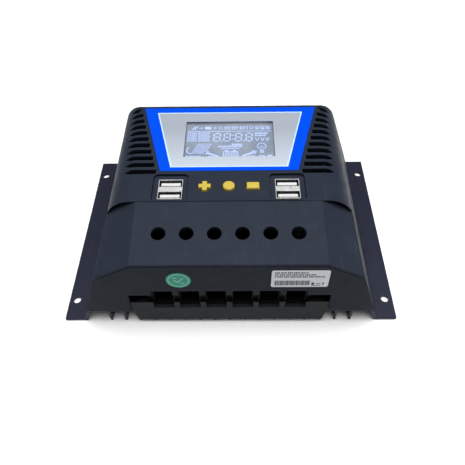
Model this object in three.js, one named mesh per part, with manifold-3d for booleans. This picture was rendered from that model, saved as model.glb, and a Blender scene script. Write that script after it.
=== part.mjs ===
// Solar charge controller: finned aluminium base, vented plastic cover, display, keys, ports, terminals.
// Millimetres, +X right, +Y back, +Z up, origin on the floor at the centre of the overall footprint.
import * as THREE from "three";
import { mergeVertices } from "three/addons/utils/BufferGeometryUtils.js";
import { ConvexGeometry } from "three/addons/geometries/ConvexGeometry.js";
import Module from "manifold-3d";

const wasm = await Module();
wasm.setup();

// ---- overall sizes ----
const BASE_WIDTH = 188;
const OVERALL_DEPTH = 130.4;
const TOP_Z = 61.4; // flat top of the cover
const STICKER_T = 0.2;
const OVERHANG = 1.2; // the cover's front wall stands this far in front of the extrusion
const FRONT_Y = -OVERALL_DEPTH / 2 + STICKER_T;
const BASE_FRONT_Y = FRONT_Y + OVERHANG;
const BASE_BACK_Y = OVERALL_DEPTH / 2;

// ---- clearances ----
const SLIDE_GAP = 0.3; // pieces that move past each other
const SEAT_GAP = 0.15; // pieces laid in a recess
const RUN_GAP = 0.1; // round pieces turning in a hole
const PAST = 1; // how far a cutting tool runs past a face
const MERGE = 1e-4;
const ROUND = 24; // sides of a round piece
const SMALL_ROUND = 16;

// ---- extruded base ----
const FLANGE_T = 2.2;
const FLANGE_W = 10.4;
const FOOT_HALF = BASE_WIDTH / 2 - FLANGE_W; // where the leaning side reaches the floor
const LEAN = THREE.MathUtils.degToRad(19);
const WEB_T = 2.6;
const WEB_TOP = 12.3;
const WEB_LOW = WEB_TOP - WEB_T;
const LEG_T = 2.2;
const FIN_COUNT = 17;
const OUTER_FIN_X = FOOT_HALF - 16.1;
const FIN_PITCH = (2 * OUTER_FIN_X) / (FIN_COUNT - 1);
const FIN_ROOT_T = 1.8;
const FIN_TIP_T = 1.3;
const FIN_LOW = 0.4;
const MOUNT_R = 2.25;
const MOUNT_X = BASE_WIDTH / 2 - 4.25;
const MOUNT_INSET_Y = 12.7;
const MOUNT_YS = [BASE_FRONT_Y + MOUNT_INSET_Y, BASE_BACK_Y - MOUNT_INSET_Y];
const RIB_X = [FOOT_HALF - 25.4, FOOT_HALF - 23];
const RIB_H = 20;

// ---- cover ----
const WALL = 2.2;
const COVER_LOW = WEB_TOP;
const FILLET_R = 15;
const FILLET_STEPS = 7;
const BACK_LEAN = THREE.MathUtils.degToRad(12);
const BACK_FOOT_Y = BASE_BACK_Y - 0.5;
const BACK_EDGE = 2.4;
const STEP_Y = FRONT_Y + 36.7; // where the top drops to the sloping front part
const FACE_FRONT_Z = TOP_Z - 6.2;
const FACE_BACK_Z = TOP_Z - 0.4;
const FACE_HALF = FOOT_HALF - 34.7;
const CHAMFER_SLOPE = 0.555;
const CHAMFER_INBOARD = 1.7;
const CHAMFER_ROUND = 1.5;
const FRONT_EDGE = 0.8;
const SEAM_INSET = [1.3, 1.8]; // fine groove around the top of the front wall
const SEAM_DEPTH = 0.4;
const SEAM_LOW = FACE_FRONT_Z - 11;
const BRIM = 0.6; // skin left over the air gap above each chamfer

// ---- overlay, display window ----
const OVERLAY_T = 0.4;
const OVERLAY_FRONT_Y = STEP_Y + 22.9;
const OVERLAY_BACK_Y = BACK_FOOT_Y - 14.1;
const OVERLAY_FRONT_HALF = FOOT_HALF - 45.4;
const OVERLAY_BACK_HALF = FOOT_HALF - 31;
const SCREEN_HALF = OVERLAY_FRONT_HALF - 12.2;
const SCREEN_Y = [OVERLAY_FRONT_Y + 11.3, OVERLAY_BACK_Y - 13.6];
const PANE_T = 1.1;
const PANE_LAND = 1.8;
const LCD_T = 2.8;
const LCD_MARGIN = 2.5;
const LCD_TOP_GAP = 1.4;
const FRONT_GLASS_GAP = 0.25; // the display's front glass stands in the window's opening

// ---- vents ----
const VENT_COUNT = 11;
const VENT_BACK_Y = OVERLAY_BACK_Y - 1.2;
const VENT_PITCH = (VENT_BACK_Y - OVERLAY_FRONT_Y + 0.5) / (VENT_COUNT - 1);
const VENT_W = 3.3;
const VENT_GAP = 2.2;
const VENT_OUT_BACK = FOOT_HALF - 22.2;
const VENT_OUT_FRONT = FOOT_HALF - 25.6;
const VENT_TIP = 3;
const VENT_TOOL_LOW = TOP_Z - 16;

// ---- keys ----
const KEY_Y = STEP_Y + 10.6;
const KEY_PITCH = 12.95;
const KEY_PROUD = 1.3;
const KEY_TRAVEL = 0.6;
const KEY_R = 3.3;
const KEY_ARM = 2.8;
const KEY_SPAN = 6.8;
const MINUS_SIZE = [6.9, 4.7];
const KEY_FLANGE_R = 4.8;
const KEY_FLANGE_T = 1.1;
const KEY_STEM_R = 3;
const STEM_DEPTH = 4;
const SWITCH_SIDE = 6;
const SWITCH_H = 3.5;
const PLUNGER_R = 1.7;
const PLUNGER_SINK = 1.2;

// ---- USB ports ----
const USB_X = OVERLAY_FRONT_HALF - 6.7;
const USB_W = 13.1;
const USB_BACK_Y = STEP_Y + 17.3;
const USB_LEN = 14.4;
const USB_WALL = 0.35;
const PORT_W = 12.4;
const PORT_H = 5.1;
const PORT_DEPTH = 13.2;
const TONGUE_W = 10.6;
const TONGUE_T = 2.2;
const TONGUE_SHIFT = -0.1;
const TONGUE_SINK = 0.7;
const POCKET_W = 19;
const POCKET_BACK_Y = USB_BACK_Y + 3.1;
const POCKET_FRONT_Y = STEP_Y + 0.3;
const POCKET_R = 2.5;
const POCKET_DEPTH = 1.6;
const POCKET_FLOOR_T = 2;
const USB_PROUD = 0.4; // the shell's mouth above the pocket floor

// ---- boards ----
const BOARD_T = 1.6;
const POWER_Z = WEB_TOP + 2.2;
const POWER_X = [21.6 - FOOT_HALF, RIB_X[0] - 1.2];
const POWER_Y = [FRONT_Y + 8.2, BACK_FOOT_Y - 6.7];
const SPACER_R = 3;
const SPACER_BORE = 1.6;
const SPACER_INSET = 5.5;
const DISPLAY_TOP = TOP_Z - POCKET_DEPTH + USB_PROUD - PORT_DEPTH - 2;
const DISPLAY_HALF = USB_X + 9.7;
const DISPLAY_Y = [STEP_Y + 0.5, OVERLAY_BACK_Y - 3.4];
const PEG_R = 1.4;
const PEG_BOSS_R = 3;
const PEG_LEN = 2.4;
const PEGS = [
  [SCREEN_HALF + 7, OVERLAY_FRONT_Y + 3.6],
  [SCREEN_HALF + 12, OVERLAY_BACK_Y - 7.5],
];

// ---- fixing screws for the cover ----
const BOSS_X = FOOT_HALF - 10.6;
const BOSS_YS = [BASE_FRONT_Y + 7.8, BACK_FOOT_Y - 9.7];
const BOSS_R = 3.75;
const BOSS_H = 18;
const COVER_SCREW_R = 1.5;
const COVER_SCREW_LEN = 14;
const COVER_HEAD_R = 2.75;
const COVER_HEAD_H = 2.2;

// ---- terminals ----
const WAYS = 6;
const WAY_PITCH = 14.2;
const TERMINAL_Y = FRONT_Y + 17.8;
const HOLE_R = 3.75; // screwdriver holes in the cover
const ENTRY_W = 11.1;
const SLIT_HALF = (WAYS * WAY_PITCH) / 2 + 11;
const BLOCK_MARGIN = 1.3;
const BLOCK_FRONT_Y = FRONT_Y + WALL + 0.4;
const BLOCK_BACK_Y = TERMINAL_Y + 5.9;
const BLOCK_LOW = POWER_Z + BOARD_T;
const BLOCK_TOP = BLOCK_LOW + 28.5;
const ENTRY_Z = [BLOCK_LOW + 0.8, BLOCK_LOW + 15.9];
const SLIT_Z = [BLOCK_LOW + 5, BLOCK_LOW + 11.9];
const NOTCH_LOW = ENTRY_Z[0] - 1;
const CAGE_HALF_X = 4.7;
const CAGE_HALF_Y = 4.2;
const CAGE_SIDE = 1.2;
const CAGE_FLOOR_T = 1.5;
const CAGE_LOW = BLOCK_LOW + 1.8;
const CAGE_RISE = 6;
const BAR_Z = BLOCK_LOW + 11.3; // underside of the fixed contact bar
const BAR_T = 1.8;
const BAR_HALF = 3.2;
const BAR_LEG_T = 1.5;
const BAR_PLAY = 2.1; // the bar is tilted into its slot from behind
const CAGE_TOP_T = 3;
const SCREW_R = 1.95;
const SCREW_HEAD_R = 3.5;
const SCREW_HEAD_H = 2.9;
const DRIVE_W = 0.9;
const DRIVE_LEN = 5;
const DRIVE_DEPTH = 1.3;
const WELL_MOUTH_R = 3.2;

// ---- lower front bezel ----
const BEZEL_CORNER_Z = WEB_TOP + 2.5;
const BEZEL_LOW = FLANGE_T + 0.9;
const BEZEL_LOW_HALF = SLIT_HALF - 2;
const SHELF_DEPTH = 5.2;
const SHELF_T = 1.9;
const LIP_T = 0.5; // the lip and its notches come to a thin front edge
const LIP_SLOPE = 1.75;

// ---- loose parts on the power board ----
const CAPACITOR_R = 6.3;
const CAPACITOR_H = DISPLAY_TOP - BOARD_T - BLOCK_LOW - 1.8;
const CAPACITOR_X = POWER_X[0] + 14;
const CAPACITOR_YS = [STEP_Y + 20.3, STEP_Y + 40.3];
const RIB_Y = [STEP_Y + 13.3, BACK_FOOT_Y - 19.7];
const MOSFET_COUNT = 3;
const MOSFET_SIZE = [4.5, 10, 15];
const MOSFET_LEG = [0.7, 0.8, 3.9];
const LEG_PITCH = 2.54;
const LINK_SIZE = [20, 3];

// ---- stickers on the front wall ----
const LABEL_CENTRE = [FACE_HALF - 12.9, FACE_FRONT_Z - 11.9];
const LABEL_SIZE = [29.1, 14.5];
const LABEL_R = 1.2;
const DOT_CENTRE = [23.4 - FACE_HALF, FACE_FRONT_Z - 12.9];
const DOT_R = 6.4;

// ---- solids ----
const ALONG_Y = new THREE.Matrix4().makeBasis(
  new THREE.Vector3(1, 0, 0),
  new THREE.Vector3(0, 0, 1),
  new THREE.Vector3(0, -1, 0),
);
const ALONG_X = new THREE.Matrix4().makeBasis(
  new THREE.Vector3(0, 1, 0),
  new THREE.Vector3(0, 0, 1),
  new THREE.Vector3(1, 0, 0),
);

function solidOf(geometry) {
  const bare = geometry.index ? geometry.toNonIndexed() : geometry.clone();
  bare.deleteAttribute("normal");
  bare.deleteAttribute("uv");
  const merged = mergeVertices(bare, MERGE);
  const vertProperties = merged.attributes.position.array;
  const triVerts = new Uint32Array(merged.index.array);
  return new wasm.Manifold(new wasm.Mesh({ numProp: 3, vertProperties, triVerts }));
}

function geometryOf(solid) {
  const mesh = solid.getMesh();
  const geometry = new THREE.BufferGeometry();
  geometry.setAttribute("position", new THREE.BufferAttribute(new Float32Array(mesh.vertProperties), 3));
  geometry.setIndex(new THREE.BufferAttribute(new Uint32Array(mesh.triVerts), 1));
  geometry.computeVertexNormals();
  return geometry;
}

// A box between two opposite corners.
function block([x0, x1], [y0, y1], [z0, z1]) {
  const box = new THREE.BoxGeometry(x1 - x0, y1 - y0, z1 - z0);
  box.translate((x0 + x1) / 2, (y0 + y1) / 2, (z0 + z1) / 2);
  return solidOf(box);
}

const around = (middle, half) => [middle - half, middle + half];

function extruded(points, low, high) {
  const shape = new THREE.Shape(points.map(([x, y]) => new THREE.Vector2(x, y)));
  const geometry = new THREE.ExtrudeGeometry(shape, { depth: high - low, bevelEnabled: false });
  return geometry.translate(0, 0, low);
}

const prismZ = (points, z0, z1) => solidOf(extruded(points, z0, z1));
const prismY = (points, y0, y1) => solidOf(extruded(points, -y1, -y0).applyMatrix4(ALONG_Y));
const prismX = (points, x0, x1) => solidOf(extruded(points, x0, x1).applyMatrix4(ALONG_X));

// An upright cylinder at (x, y).
function post(x, y, radius, z0, z1, sides = ROUND) {
  const geometry = new THREE.CylinderGeometry(radius, radius, z1 - z0, sides);
  geometry.rotateX(Math.PI / 2);
  return solidOf(geometry.translate(x, y, (z0 + z1) / 2));
}

function roundedRect(cx, cy, width, height, radius, steps = 4) {
  const points = [];
  const corners = [[1, 1], [-1, 1], [-1, -1], [1, -1]];
  corners.forEach(([sx, sy], quarter) => {
    for (let i = 0; i <= steps; i += 1) {
      const angle = ((quarter + i / steps) * Math.PI) / 2;
      const x = cx + sx * (width / 2 - radius) + radius * Math.cos(angle);
      const y = cy + sy * (height / 2 - radius) + radius * Math.sin(angle);
      points.push([x, y]);
    }
  });
  return points;
}

const mirrored = (half) => [...half, ...half.map(([x, z]) => [-x, z]).reverse()];
const union = (solids) => solids.reduce((sum, next) => sum.add(next));

// ---- materials ----
const FINISHES = {
  anodised: { color: 0x23262c, metalness: 0.7, roughness: 0.45 },
  cover: { color: 0x2a2e35, metalness: 0, roughness: 0.5 },
  bezel: { color: 0x3a3a3c, metalness: 0, roughness: 0.55 },
  blue: { color: 0x1460e0, metalness: 0, roughness: 0.35 },
  clear: { color: 0xdfe8ee, metalness: 0, roughness: 0.05, transparent: true, opacity: 0.35 },
  lcd: { color: 0x8a969c, metalness: 0, roughness: 0.2 },
  white: { color: 0xe8e8e2, metalness: 0, roughness: 0.5 },
  yellow: { color: 0xe8cc4a, metalness: 0, roughness: 0.45 },
  board: { color: 0x1e5a36, metalness: 0, roughness: 0.5 },
  black: { color: 0x17181a, metalness: 0, roughness: 0.5 },
  steel: { color: 0xb9bcc0, metalness: 0.9, roughness: 0.35 },
  brass: { color: 0xc8a860, metalness: 0.9, roughness: 0.35 },
  paper: { color: 0xc9ccd0, metalness: 0, roughness: 0.6 },
  green: { color: 0x2f9a7a, metalness: 0, roughness: 0.5 },
};

const controller = new THREE.Group();
controller.name = "charge_controller";

function place(name, solid, finish) {
  const mesh = new THREE.Mesh(geometryOf(solid), new THREE.MeshStandardMaterial(FINISHES[finish]));
  mesh.name = name;
  controller.add(mesh);
}

// ---- cover profile ----
// Half width of the leaning side at height z, moved inwards by inset.
const sideX = (z, inset = 0) => FOOT_HALF - inset / Math.cos(LEAN) - Math.tan(LEAN) * z;
const backY = (z, inset = 0) => BACK_FOOT_Y - inset / Math.cos(BACK_LEAN) - Math.tan(BACK_LEAN) * (z - COVER_LOW);
const faceZ = (y) =>
  THREE.MathUtils.mapLinear(y, FRONT_Y, STEP_Y, FACE_FRONT_Z, FACE_BACK_Z);

// Rear part: leaning sides run into a flat top through a wide fillet.
function rearProfile(inset, low) {
  const centreZ = TOP_Z - FILLET_R;
  const centreX = sideX(centreZ, FILLET_R);
  const radius = FILLET_R - inset;
  const half = [[sideX(low, inset), low]];
  for (let i = 0; i <= FILLET_STEPS; i += 1) {
    const angle = THREE.MathUtils.lerp(LEAN, Math.PI / 2, i / FILLET_STEPS);
    half.push([centreX + radius * Math.cos(angle), centreZ + radius * Math.sin(angle)]);
  }
  return mirrored(half);
}

// Front part: a flat face with a plane chamfer down to each leaning side.
function frontProfile(height, inset, low) {
  const drop = inset * Math.hypot(1, CHAMFER_SLOPE);
  const edgeX = FACE_HALF - (drop - inset) / CHAMFER_SLOPE;
  const lean = Math.tan(LEAN);
  const base = height + CHAMFER_SLOPE * FACE_HALF - drop;
  const creaseX = (sideX(0, inset + CHAMFER_INBOARD) - lean * base) / (1 - lean * CHAMFER_SLOPE);
  const creaseZ = base - CHAMFER_SLOPE * creaseX;
  const sideZ = creaseZ - CHAMFER_ROUND;
  return mirrored([
    [sideX(low, inset), low],
    [sideX(sideZ, inset), sideZ],
    [creaseX, creaseZ],
    [edgeX, height - inset],
  ]);
}

function frontSolid(inset, low, y0, y1) {
  const corners = [];
  for (const y of [y0, y1]) {
    for (const [x, z] of frontProfile(faceZ(y), inset, low)) {
      corners.push(new THREE.Vector3(x, y, z));
    }
  }
  return solidOf(new ConvexGeometry(corners));
}

function coverOutside() {
  const bodies = rearOf(0, COVER_LOW, STEP_Y).add(frontSolid(0, COVER_LOW, FRONT_Y, STEP_Y + PAST));
  const over = TOP_Z + PAST;
  const envelope = [
    [FRONT_Y, COVER_LOW - PAST],
    [FRONT_Y, FACE_FRONT_Z - FRONT_EDGE],
    [FRONT_Y + 0.25 * FRONT_EDGE, FACE_FRONT_Z - 0.35 * FRONT_EDGE],
    [FRONT_Y + FRONT_EDGE, faceZ(FRONT_Y + FRONT_EDGE)],
    [FRONT_Y + FRONT_EDGE, over],
    [backY(over) - BACK_EDGE, over],
    [backY(TOP_Z) - BACK_EDGE, TOP_Z],
    [backY(TOP_Z) - 0.3 * BACK_EDGE, TOP_Z - 0.35 * BACK_EDGE],
    [backY(TOP_Z - BACK_EDGE), TOP_Z - BACK_EDGE],
    [backY(COVER_LOW - PAST), COVER_LOW - PAST],
  ];
  return bodies.intersect(prismX(envelope, -BASE_WIDTH / 2, BASE_WIDTH / 2));
}

const rearOf = (inset, low, y0) => prismY(rearProfile(inset, low), y0, BASE_BACK_Y);

// The fine groove around the top of the front wall.
function seamTool() {
  const [outer, inner] = SEAM_INSET.map((inset) =>
    prismY(frontProfile(FACE_FRONT_Z, inset, COVER_LOW), FRONT_Y - PAST, FRONT_Y + SEAM_DEPTH),
  );
  const below = block(around(0, BASE_WIDTH / 2), [FRONT_Y - 2 * PAST, FRONT_Y + WALL], [0, SEAM_LOW]);
  return outer.subtract(inner.add(below));
}

// The air gap under the rear part's brim, open above each chamfer.
function brimTool() {
  const reach = [STEP_Y - PAST, STEP_Y + WALL + PAST];
  const under = prismY(rearProfile(BRIM, COVER_LOW), ...reach);
  const front = frontSolid(0, COVER_LOW - PAST, FRONT_Y, reach[1] + PAST);
  const flat = block(around(0, FACE_HALF + 1), [FRONT_Y, reach[1] + PAST], [0, TOP_Z + PAST]);
  return under.subtract(front.add(flat));
}

function coverInside() {
  const low = COVER_LOW - PAST;
  const rear = rearOf(WALL, low, STEP_Y + WALL);
  const front = frontSolid(WALL, low, FRONT_Y + WALL, STEP_Y + WALL + PAST);
  const envelope = [
    [FRONT_Y, low - PAST],
    [FRONT_Y, TOP_Z],
    [backY(TOP_Z, WALL), TOP_Z],
    [backY(low - PAST, WALL), low - PAST],
  ];
  return rear.add(front).intersect(prismX(envelope, -BASE_WIDTH / 2, BASE_WIDTH / 2));
}

const wayX = (way) => (way - (WAYS - 1) / 2) * WAY_PITCH;
const ways = [...Array(WAYS).keys()];

// ---- cover: openings ----
const overlayHalf = (y) =>
  THREE.MathUtils.mapLinear(y, OVERLAY_FRONT_Y, OVERLAY_BACK_Y, OVERLAY_FRONT_HALF, OVERLAY_BACK_HALF);

function overlayOutline(gap) {
  const low = OVERLAY_FRONT_Y - gap;
  const high = OVERLAY_BACK_Y + gap;
  return mirrored([[overlayHalf(low) + gap, low], [overlayHalf(high) + gap, high]]);
}

function ventTool(index, side) {
  const y = VENT_BACK_Y - index * VENT_PITCH;
  const [y0, y1] = around(y, VENT_W / 2);
  const inner = overlayHalf(y) + VENT_GAP;
  const outer = THREE.MathUtils.lerp(VENT_OUT_BACK, VENT_OUT_FRONT, index / (VENT_COUNT - 1));
  const outline = [[inner, y0], [outer - VENT_TIP, y0], [outer, y], [outer - VENT_TIP, y1], [inner, y1]];
  return prismZ(outline.map(([x, at]) => [side * x, at]), VENT_TOOL_LOW, TOP_Z + PAST);
}

function ventTools() {
  const tools = [];
  for (let index = 0; index < VENT_COUNT; index += 1) {
    tools.push(ventTool(index, -1), ventTool(index, 1));
  }
  return union(tools);
}

const pocketFloor = TOP_Z - POCKET_DEPTH;

function pocketOutline(side, margin) {
  const middle = (POCKET_BACK_Y + POCKET_FRONT_Y) / 2;
  const length = POCKET_BACK_Y - POCKET_FRONT_Y;
  return roundedRect(side * USB_X, middle, POCKET_W + 2 * margin, length + 2 * margin, POCKET_R + margin);
}

const usbY = [USB_BACK_Y - USB_LEN, USB_BACK_Y];
const usbX = (side, gap = 0) => around(side * USB_X, USB_W / 2 + gap);

function usbTools(side) {
  const [y0, y1] = usbY;
  const mouth = block(usbX(side, SEAT_GAP), [y0 - SEAT_GAP, y1 + SEAT_GAP], [DISPLAY_TOP, TOP_Z + PAST]);
  return mouth.add(prismZ(pocketOutline(side, 0), pocketFloor, TOP_Z + PAST));
}

const usbFloor = (side) => prismZ(pocketOutline(side, WALL / 2), pocketFloor - POCKET_FLOOR_T, TOP_Z - WALL / 2);

function windowTools() {
  const [y0, y1] = SCREEN_Y;
  const seatZ = TOP_Z - OVERLAY_T - PANE_T;
  const recess = prismZ(overlayOutline(SEAT_GAP), TOP_Z - OVERLAY_T, TOP_Z + PAST);
  const light = block(around(0, SCREEN_HALF), [y0, y1], [seatZ - WALL, TOP_Z + PAST]);
  const grow = PANE_LAND + SEAT_GAP;
  const seat = block(around(0, SCREEN_HALF + grow), [y0 - grow, y1 + grow], [seatZ, TOP_Z + PAST]);
  return union([recess, light, seat]);
}

// ---- key shapes, grown outwards by gap ----
function plusShape(x, gap) {
  const arm = KEY_ARM / 2 + gap;
  const span = KEY_SPAN / 2 + gap;
  return (z0, z1) => block(around(x, span), around(KEY_Y, arm), [z0, z1])
    .add(block(around(x, arm), around(KEY_Y, span), [z0, z1]));
}

const roundShape = (x, gap) => (z0, z1) => post(x, KEY_Y, KEY_R + gap, z0, z1);

const minusShape = (x, gap) => (z0, z1) =>
  block(around(x, MINUS_SIZE[0] / 2 + gap), around(KEY_Y, MINUS_SIZE[1] / 2 + gap), [z0, z1]);

const KEYS = [
  { name: "plus", x: -KEY_PITCH, shape: plusShape },
  { name: "set", x: 0, shape: roundShape },
  { name: "minus", x: KEY_PITCH, shape: minusShape },
];

const keyTools = () => union(KEYS.map((key) => key.shape(key.x, SLIDE_GAP)(TOP_Z - 2 * WALL, TOP_Z + PAST)));

// The slit and wire entries run down through the cover's lower front edge.
function entryTools() {
  const back = FRONT_Y + WALL + PAST;
  const reach = [FRONT_Y - PAST, back];
  const entries = ways.map((way) => block(around(wayX(way), ENTRY_W / 2), reach, [COVER_LOW, ENTRY_Z[1]]));
  const slit = block(around(0, SLIT_HALF), reach, [COVER_LOW - PAST, SLIT_Z[1]]);
  return union([slit, ...entries]);
}

const driverTools = () => union(ways.map((way) => post(wayX(way), TERMINAL_Y, HOLE_R, BLOCK_TOP, TOP_Z + PAST)));

const eachCorner = (make) => BOSS_YS.flatMap((y) => [-1, 1].map((side) => make(side * BOSS_X, y)));
const eachPeg = (make) => PEGS.flatMap(([x, y]) => [-1, 1].map((side) => make(side * x, y)));

function makeCover() {
  const outside = coverOutside();
  const inside = coverInside();
  const bosses = union(eachCorner((x, y) => post(x, y, BOSS_R, COVER_LOW, COVER_LOW + BOSS_H)));
  const pegBosses = union(eachPeg((x, y) => post(x, y, PEG_BOSS_R, DISPLAY_TOP, TOP_Z - WALL / 2)));
  const pegs = union(eachPeg((x, y) => post(x, y, PEG_R, DISPLAY_TOP - PEG_LEN, TOP_Z - WALL, SMALL_ROUND)));
  const pilots = union(eachCorner((x, y) => {
    return post(x, y, COVER_SCREW_R + SEAT_GAP / 2, COVER_LOW - PAST, COVER_LOW + COVER_SCREW_LEN, SMALL_ROUND);
  }));
  const added = union([bosses.intersect(outside), pegBosses, pegs, usbFloor(-1), usbFloor(1)]);
  const tools = [ventTools(), usbTools(-1), usbTools(1), windowTools(), keyTools(), entryTools(), driverTools()];
  const detail = [seamTool(), brimTool()];
  return outside.subtract(inside).add(added).subtract(union([...tools, ...detail, pilots]));
}

// ---- extruded base ----
function finOutline(x) {
  return [
    [x - FIN_ROOT_T / 2, WEB_LOW + WEB_T / 2],
    [x - FIN_TIP_T / 2, FIN_LOW],
    [x + FIN_TIP_T / 2, FIN_LOW],
    [x + FIN_ROOT_T / 2, WEB_LOW + WEB_T / 2],
  ];
}

function makeHeatsink() {
  const legs = mirrored([
    [BASE_WIDTH / 2, 0],
    [BASE_WIDTH / 2, FLANGE_T],
    [sideX(FLANGE_T), FLANGE_T],
    [sideX(WEB_TOP), WEB_TOP],
  ]);
  const hollow = mirrored([
    [sideX(0, LEG_T), 0],
    [sideX(WEB_LOW, LEG_T), WEB_LOW],
  ]);
  const outline = [...legs, ...hollow.reverse()];
  const solids = [prismY(outline, BASE_FRONT_Y, BASE_BACK_Y)];
  for (let fin = 0; fin < FIN_COUNT; fin += 1) {
    const x = (fin - (FIN_COUNT - 1) / 2) * FIN_PITCH;
    solids.push(prismY(finOutline(x), BASE_FRONT_Y, BASE_BACK_Y));
  }
  solids.push(block(RIB_X, RIB_Y, [WEB_LOW + WEB_T / 2, WEB_TOP + RIB_H]));
  const holes = MOUNT_YS.flatMap((y) =>
    [-1, 1].map((side) => post(side * MOUNT_X, y, MOUNT_R, -PAST, FLANGE_T + PAST)),
  );
  const screwHoles = eachCorner((x, y) => post(x, y, COVER_SCREW_R + RUN_GAP, 0, WEB_TOP + PAST, SMALL_ROUND));
  return union(solids).subtract(union([...holes, ...screwHoles]));
}

// ---- lower front bezel ----
// Cuts the back of the lip away below a front edge at height z.
function lipTool(z, half, x) {
  const back = FRONT_Y + WALL + PAST;
  const edge = FRONT_Y + LIP_T;
  const outline = [[edge, z], [back, z - LIP_SLOPE * (back - edge)], [back, z + PAST], [edge, z + PAST]];
  return prismX(outline, x - half, x + half);
}

function makeBezel() {
  const half = SLIT_HALF - SEAT_GAP;
  const low = WEB_TOP + SEAT_GAP;
  const outline = mirrored([[BEZEL_LOW_HALF, BEZEL_LOW], [half, BEZEL_CORNER_Z], [half, SLIT_Z[0]]]);
  const plate = prismY(outline, FRONT_Y, FRONT_Y + WALL);
  const backCut = block(around(0, BASE_WIDTH / 2), [BASE_FRONT_Y - SEAT_GAP, 0], [0, low]);
  const shelfHalf = BEZEL_LOW_HALF - SEAT_GAP;
  const shelf = block(around(0, shelfHalf), [FRONT_Y, FRONT_Y + WALL + SHELF_DEPTH], [low, low + SHELF_T]);
  const notches = ways.map((way) =>
    block(around(wayX(way), ENTRY_W / 2), [FRONT_Y - PAST, FRONT_Y + WALL + PAST], [NOTCH_LOW, ENTRY_Z[1]]),
  );
  const slopes = ways.map((way) => lipTool(NOTCH_LOW, ENTRY_W / 2, wayX(way)));
  return plate.subtract(union([backCut, lipTool(SLIT_Z[0], BASE_WIDTH / 2, 0), ...notches, ...slopes])).add(shelf);
}

// ---- overlay and display ----
function makeOverlay() {
  const [y0, y1] = SCREEN_Y;
  const sheet = prismZ(overlayOutline(0), TOP_Z - OVERLAY_T, TOP_Z);
  return sheet.subtract(block(around(0, SCREEN_HALF), [y0, y1], [TOP_Z - PAST, TOP_Z + PAST]));
}

function screenBlock(margin, z0, z1) {
  const [y0, y1] = SCREEN_Y;
  return block(around(0, SCREEN_HALF + margin), [y0 - margin, y1 + margin], [z0, z1]);
}

const lcdTop = TOP_Z - OVERLAY_T - PANE_T - LCD_TOP_GAP - WALL / 2;

function makeDisplayCell() {
  const frontTop = TOP_Z - OVERLAY_T - PANE_T - FRONT_GLASS_GAP;
  const front = screenBlock(-SLIDE_GAP, lcdTop - LCD_T / 2, frontTop);
  return screenBlock(LCD_MARGIN, lcdTop - LCD_T, lcdTop).add(front);
}

function makeBacklight() {
  const top = lcdTop - LCD_T;
  const hollow = screenBlock(LCD_MARGIN - WALL, DISPLAY_TOP - PAST, top - WALL);
  return screenBlock(LCD_MARGIN, DISPLAY_TOP, top).subtract(hollow);
}

// ---- boards ----
const displayHole = (x, y) => post(x, y, PEG_R + RUN_GAP, DISPLAY_TOP - 2 * BOARD_T, DISPLAY_TOP + PAST);

function makeDisplayBoard() {
  const sheet = block(around(0, DISPLAY_HALF), DISPLAY_Y, [DISPLAY_TOP - BOARD_T, DISPLAY_TOP]);
  return sheet.subtract(union(eachPeg(displayHole)));
}

const spacerSpots = [POWER_Y[0] + SPACER_INSET, POWER_Y[1] - SPACER_INSET].flatMap((y) =>
  [POWER_X[0] + SPACER_INSET, POWER_X[1] - SPACER_INSET].map((x) => [x, y]),
);

function makePowerBoard() {
  const sheet = block(POWER_X, POWER_Y, [POWER_Z, POWER_Z + BOARD_T]);
  const holes = spacerSpots.map(([x, y]) => post(x, y, SPACER_BORE, POWER_Z - PAST, BLOCK_LOW + PAST, SMALL_ROUND));
  return sheet.subtract(union(holes));
}

function placeSpacers() {
  spacerSpots.forEach(([x, y], index) => {
    const bore = post(x, y, SPACER_BORE, WEB_TOP - PAST, POWER_Z + PAST, SMALL_ROUND);
    const spacer = post(x, y, SPACER_R, WEB_TOP, POWER_Z, SMALL_ROUND).subtract(bore);
    place(`board_spacer_${index + 1}`, spacer, "brass");
  });
}

// ---- keys and their switches ----
const keyFlangeTop = TOP_Z - WALL - KEY_TRAVEL / 3;
const keyFlangeLow = keyFlangeTop - KEY_FLANGE_T;

function placeKey({ name, x, shape }) {
  const cap = shape(x, 0)(keyFlangeTop - PAST / 2, TOP_Z + KEY_PROUD);
  const flange = post(x, KEY_Y, KEY_FLANGE_R, keyFlangeLow, keyFlangeTop);
  const stem = post(x, KEY_Y, KEY_STEM_R, keyFlangeLow - STEM_DEPTH, keyFlangeLow + PAST / 2);
  const socket = post(x, KEY_Y, PLUNGER_R + RUN_GAP, keyFlangeLow - STEM_DEPTH - PAST, keyFlangeLow, SMALL_ROUND);
  place(`key_${name}`, union([cap, flange, stem]).subtract(socket), "yellow");
  const bodyTop = DISPLAY_TOP + SWITCH_H;
  const side = SWITCH_SIDE / 2;
  const well = post(x, KEY_Y, PLUNGER_R + RUN_GAP, DISPLAY_TOP + PAST / 2, bodyTop + PAST, SMALL_ROUND);
  const body = block(around(x, side), around(KEY_Y, side), [DISPLAY_TOP, bodyTop]);
  place(`switch_${name}`, body.subtract(well), "black");
  const plunger = post(x, KEY_Y, PLUNGER_R, bodyTop - PLUNGER_SINK, keyFlangeLow, SMALL_ROUND);
  place(`plunger_${name}`, plunger, "white");
}

// ---- USB ports ----
const usbTop = pocketFloor + USB_PROUD;
const portY = (port) => {
  const [y0, y1] = usbY;
  const middle = port ? y0 + USB_WALL + PORT_H / 2 : y1 - USB_WALL - PORT_H / 2;
  return middle;
};

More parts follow.
